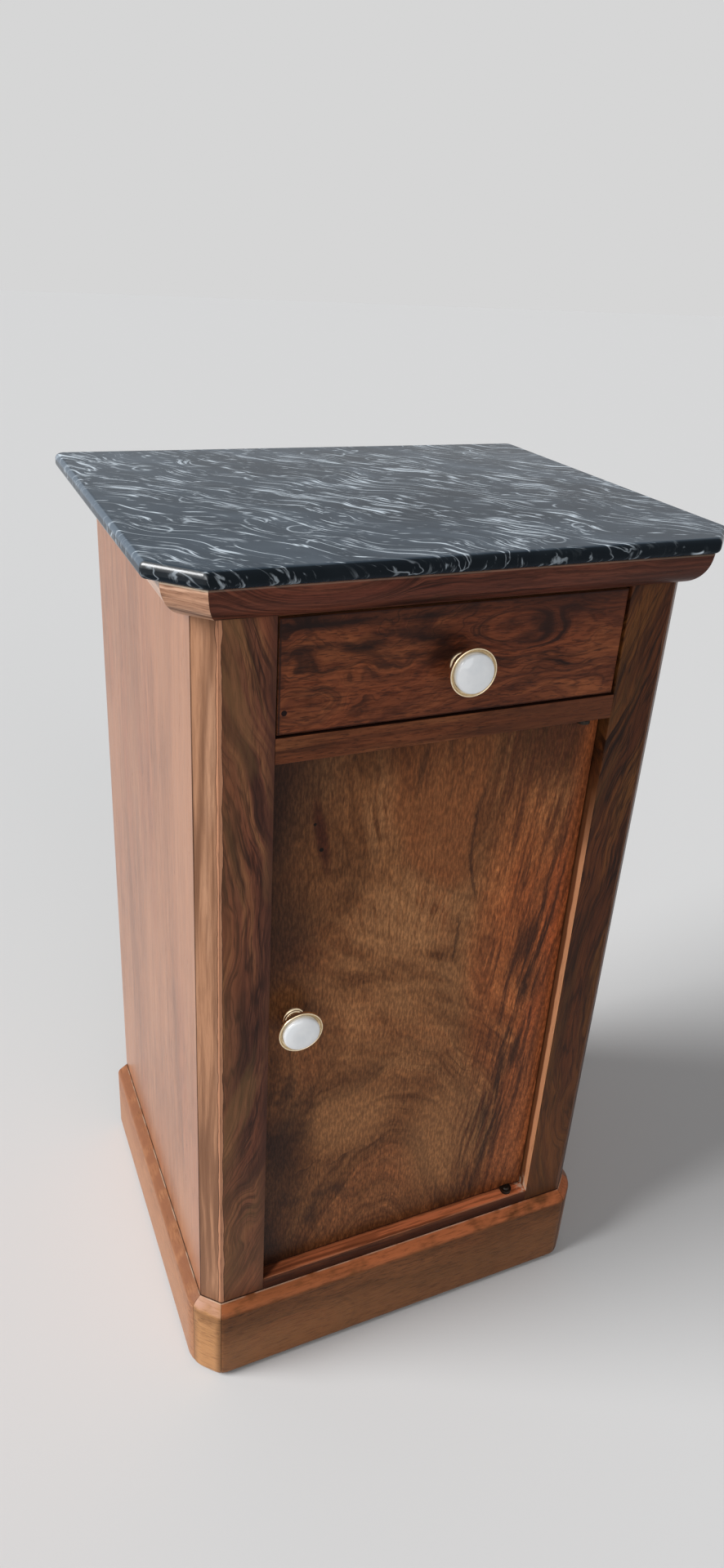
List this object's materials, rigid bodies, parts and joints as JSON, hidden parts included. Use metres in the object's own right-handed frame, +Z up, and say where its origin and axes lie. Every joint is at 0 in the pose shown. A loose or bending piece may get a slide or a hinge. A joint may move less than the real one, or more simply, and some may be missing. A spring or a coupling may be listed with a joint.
{
  "type": "nightstand",
  "caption": "Walnut-veneered bedside cupboard with canted corners, a marble slab top, an ovolo cornice, a drawer over a door on pivot hinges, and brass and porcelain knobs.",
  "frame": {"origin": "on the floor, under the middle of the marble's outline", "axes": "+Z up, +X to the right of someone facing the front, +Y towards the back"},
  "size_m": [0.4514, 0.3614, 0.779],
  "materials": {
    "marble": "polished, black with white streaks",
    "door_veneer": "french-polished figured walnut veneer",
    "drawer_veneer": "french-polished figured walnut veneer",
    "cornice_walnut": "french-polished walnut",
    "plinth_walnut": "french-polished walnut",
    "side_veneer": "french-polished straight-grained walnut veneer",
    "stile_veneer": "french-polished figured walnut veneer",
    "rail_walnut": "french-polished walnut",
    "brass": "polished and lacquered",
    "porcelain": "white glaze",
    "iron": "blackened wrought iron",
    "steel": "bright",
    "inner_wood": "planed, unpolished"
  },
  "bodies": {
    "carcass": {"marble_top": "marble", "bottom_rail": "rail_walnut", "bottom_board": "inner_wood", "drawer_rail": "rail_walnut", "drawer_shelf": "inner_wood", "drawer_stops": "inner_wood", "top_rail_front": "inner_wood", "top_rail_back": "inner_wood", "back_rail_bottom": "inner_wood", "back_nails": "iron", "door_stop": "inner_wood", "catch_magnet": "iron", "pivot_socket_bottom": "iron", "pivot_socket_top": "iron", "side_panel_left": "side_veneer", "side_panel_right": "side_veneer", "front_stile_left": "stile_veneer", "front_stile_right": "stile_veneer", "bottom_cleat_left": "inner_wood", "bottom_cleat_right": "inner_wood", "drawer_guide_left": "inner_wood", "drawer_guide_right": "inner_wood", "drawer_kicker_left": "inner_wood", "drawer_kicker_right": "inner_wood", "plinth_left": "plinth_walnut", "plinth_corner_left": "plinth_walnut", "plinth_front": "plinth_walnut", "plinth_corner_right": "plinth_walnut", "plinth_right": "plinth_walnut", "cornice_left": "cornice_walnut", "cornice_corner_left": "cornice_walnut", "cornice_front": "cornice_walnut", "cornice_corner_right": "cornice_walnut", "cornice_right": "cornice_walnut", "back_board_left": "inner_wood", "back_board_middle": "inner_wood", "back_board_right": "inner_wood"},
    "door": {"door_panel": "door_veneer", "pivot_arm_bottom": "iron", "pivot_arm_top": "iron", "pivot_pin_bottom": "iron", "pivot_pin_top": "iron", "pivot_arm_screws": "steel", "catch_keeper": "steel", "door_knob_body": "brass", "door_knob_disc": "porcelain", "door_knob_screw": "steel"},
    "drawer": {"drawer_front": "drawer_veneer", "drawer_side_left": "inner_wood", "drawer_side_right": "inner_wood", "drawer_back": "inner_wood", "drawer_bottom": "inner_wood", "drawer_knob_body": "brass", "drawer_knob_disc": "porcelain", "drawer_knob_screw": "steel"}
  },
  "joints": [
    {"name": "door_pivot", "type": "hinge", "parent": "carcass", "child": "door", "pos_m": [0.1198, -0.14885, 0.1036], "axis": [0, 0, 1], "range_deg": [0, 110]},
    {"name": "drawer_slide", "type": "slide", "parent": "carcass", "child": "drawer", "axis": [0, -1, 0], "range_m": [0, 0.21]}
  ]
}
